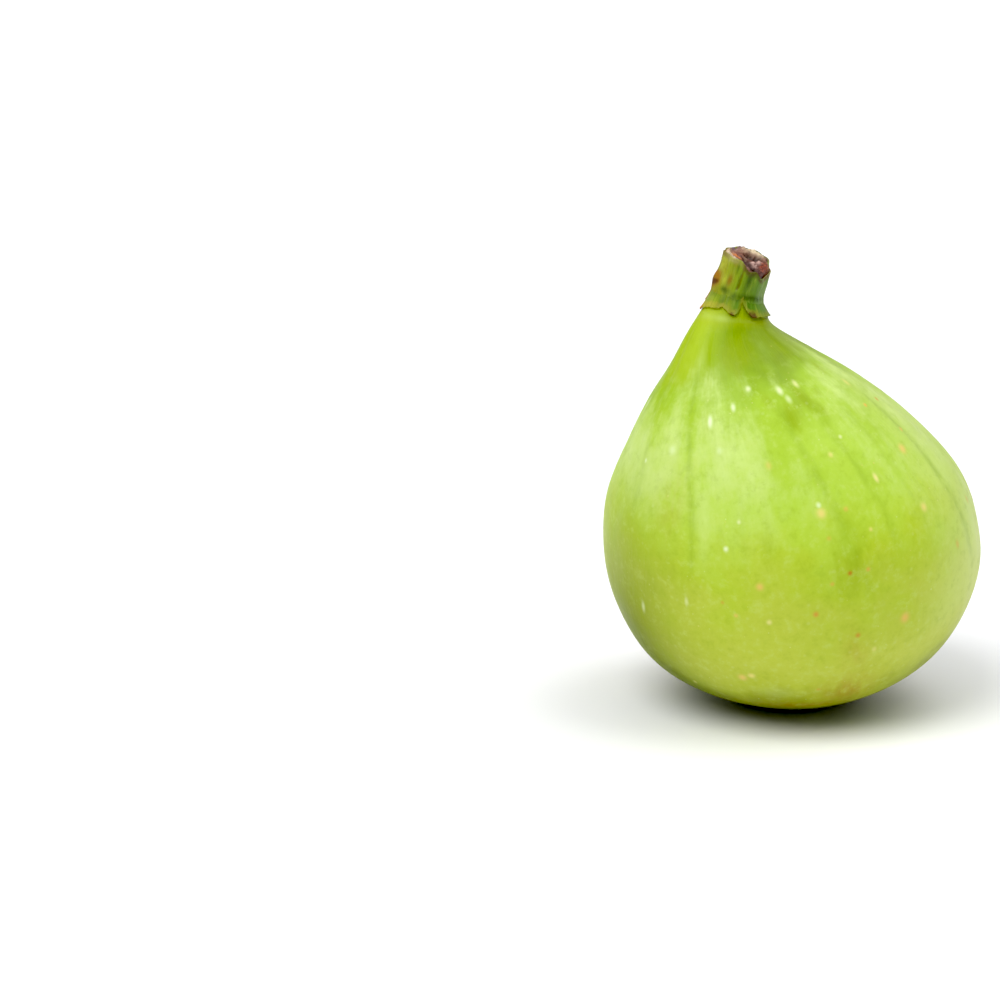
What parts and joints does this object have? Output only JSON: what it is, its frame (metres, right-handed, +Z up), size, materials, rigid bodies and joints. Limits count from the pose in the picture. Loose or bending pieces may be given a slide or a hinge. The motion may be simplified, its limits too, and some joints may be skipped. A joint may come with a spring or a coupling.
{
  "type": "fresh fig",
  "caption": "Whole fresh green fig, pear-shaped, standing on its rounded underside, with a slant-cut stalk, a collar of bracts and a scaly eye underneath.",
  "frame": {"origin": "middle of the small flat spot that the fig rests on, on the surface it stands on", "axes": "+Z up through the fruit towards the stalk, -Y towards the viewer, +X to the viewer's right"},
  "size_m": [0.055, 0.0532, 0.0682],
  "materials": {
    "fig_skin": "smooth thin yellow-green skin with a soft waxy sheen, paler streaks down from the neck and small pale spots",
    "fig_stalk": "ribbed dull olive green stalk and bracts with dry brown edges",
    "fig_cut": "dry brown and pinkish cut end with a pale rim and a shrunken dark pith",
    "fig_eye": "matt olive scales with brown tips that close the eye"
  },
  "bodies": {
    "root": {"fig": "fig_skin"}
  },
  "joints": []
}
